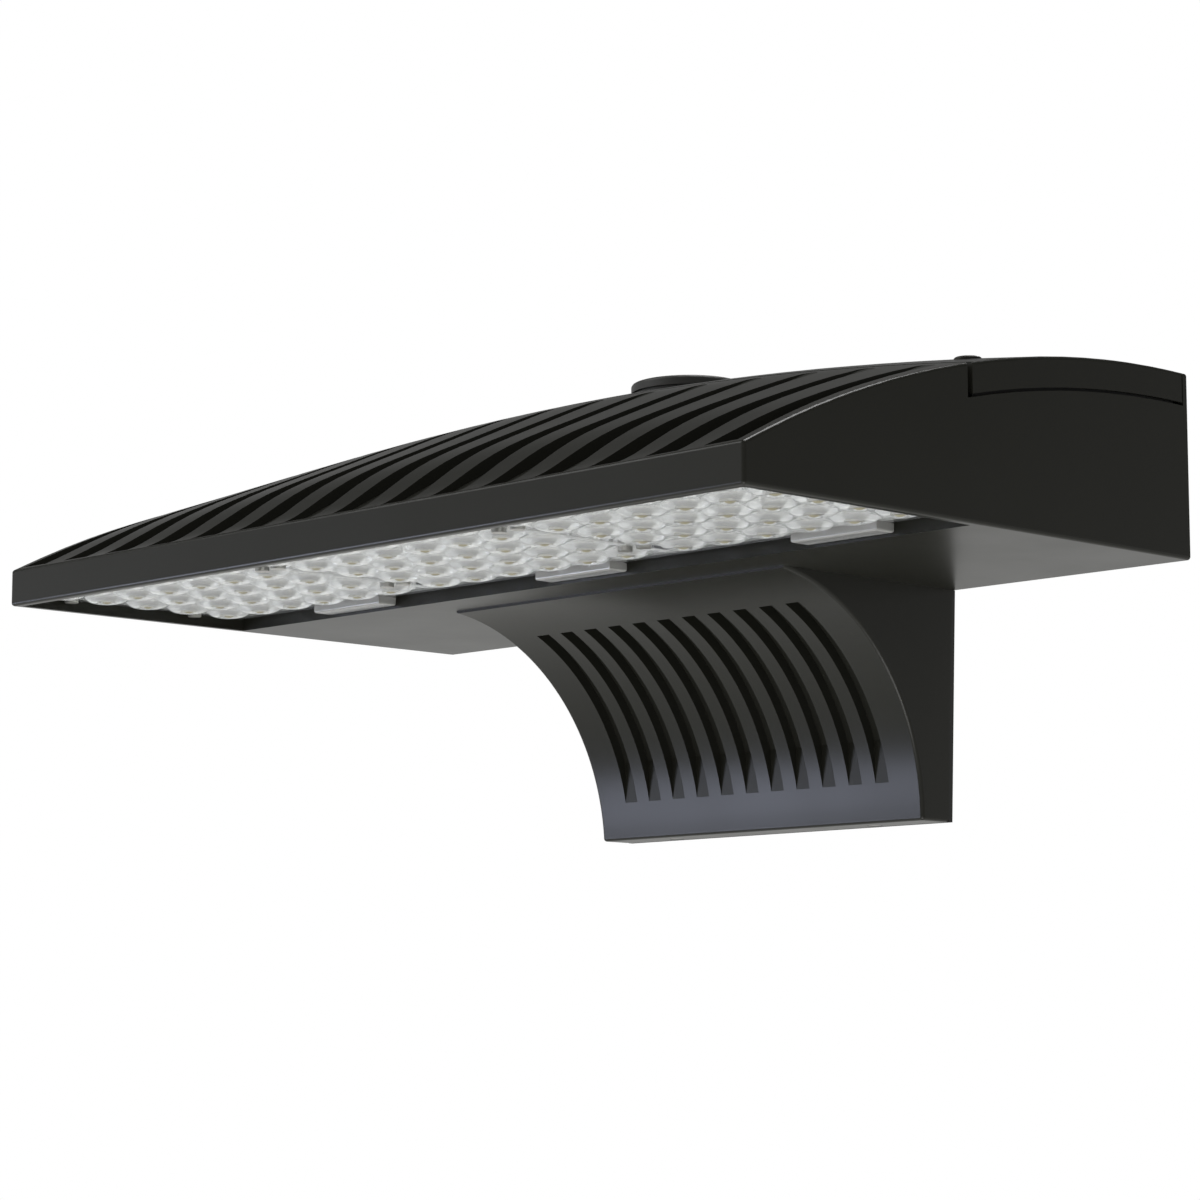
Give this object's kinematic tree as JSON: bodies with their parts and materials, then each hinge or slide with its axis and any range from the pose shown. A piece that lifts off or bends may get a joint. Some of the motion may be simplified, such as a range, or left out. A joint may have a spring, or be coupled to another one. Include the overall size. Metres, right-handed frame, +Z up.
{
  "type": "wall pack light",
  "caption": "Wide outdoor wall light: crowned finned head, side-hinged service lid with a twist-lock photocontrol, bumped lens plates below and a ribbed, coved wall bracket.",
  "frame": {"origin": "centre of the wall plate's bolt pattern, on the wall", "axes": "+X to the right along the wall as seen from the front, +Y into the wall, +Z up"},
  "size_m": [0.57, 0.327, 0.2431],
  "materials": {
    "body_coat": "die cast, fine charcoal powder coat",
    "pin_steel": "stainless, ground",
    "screw_steel": "stainless, rolled and tumbled",
    "stud_steel": "black passivated",
    "bolt_steel": "zinc plated",
    "ground_screw": "green passivated",
    "sheet_steel": "galvanised sheet",
    "seal_rubber": "moulded silicone and foam rubber",
    "lens": "clear moulded lens plate",
    "board": "white solder mask",
    "phosphor": "yellow phosphor",
    "cover": "clear moulded cover",
    "control_plastic": "black moulded housing",
    "contact_brass": "plain stamped blades",
    "driver_case": "potted driver in a pale coated case",
    "surge_case": "potted, black case",
    "terminal_plastic": "moulded"
  },
  "bodies": {
    "head": {"housing": "body_coat", "wall_bracket": "body_coat", "lid_hinge_pins": "pin_steel", "catch_screws": "screw_steel", "optic_screws": "screw_steel", "case_screws": "screw_steel", "tray_screws": "screw_steel", "bracket_screws": "screw_steel", "terminal_screws": "screw_steel", "cowl_bolts": "bolt_steel", "cowl_washers": "bolt_steel", "ground_screw": "ground_screw", "catch_plates": "sheet_steel", "driver_tray": "sheet_steel", "wall_plate": "sheet_steel", "plate_hooks": "sheet_steel", "plate_lugs": "sheet_steel", "lid_gasket": "seal_rubber", "wall_gasket": "seal_rubber", "wire_grommet": "seal_rubber", "optic_gasket_left": "seal_rubber", "optic_gasket_centre": "seal_rubber", "optic_gasket_right": "seal_rubber", "lens_plate_left": "lens", "lens_plate_centre": "lens", "lens_plate_right": "lens", "led_board_left": "board", "led_board_centre": "board", "led_board_right": "board", "led_chips": "phosphor", "connector_cover_left": "cover", "connector_cover_centre": "cover", "connector_cover_right": "cover", "driver": "driver_case", "surge_protector": "surge_case", "terminal_block": "terminal_plastic"},
    "lid": {"top_lid": "body_coat", "photocontrol_receptacle": "control_plastic", "receptacle_gasket": "seal_rubber", "receptacle_screws": "screw_steel", "receptacle_terminals": "contact_brass"},
    "front_stud": {"front_lid_stud": "stud_steel", "front_stud_clip": "screw_steel"},
    "rear_stud": {"rear_lid_stud": "stud_steel", "rear_stud_clip": "screw_steel"},
    "cap_ring": {"cap_seal": "seal_rubber"},
    "cap": {"photocontrol_cap": "control_plastic", "cap_blades": "contact_brass"}
  },
  "joints": [
    {"name": "lid_hinge", "type": "hinge", "parent": "head", "child": "lid", "pos_m": [-0.2855, -0.077, 0.123], "axis": [0, -1, 0], "range_deg": [0, 105]},
    {"name": "front_stud_turn", "type": "hinge", "parent": "lid", "child": "front_stud", "pos_m": [0.25, -0.137, 0.14], "axis": [0, 0, 1], "range_deg": [0, 90]},
    {"name": "rear_stud_turn", "type": "hinge", "parent": "lid", "child": "rear_stud", "pos_m": [0.25, -0.037, 0.15], "axis": [0, 0, 1], "range_deg": [0, 90]},
    {"name": "cap_twist", "type": "hinge", "parent": "lid", "child": "cap_ring", "pos_m": [0, -0.076, 0.176], "axis": [0, 0, 1], "range_deg": [-35, 0]},
    {"name": "cap_lift", "type": "slide", "parent": "cap_ring", "child": "cap", "axis": [0, 0, 1], "range_m": [0, 0.02]}
  ]
}
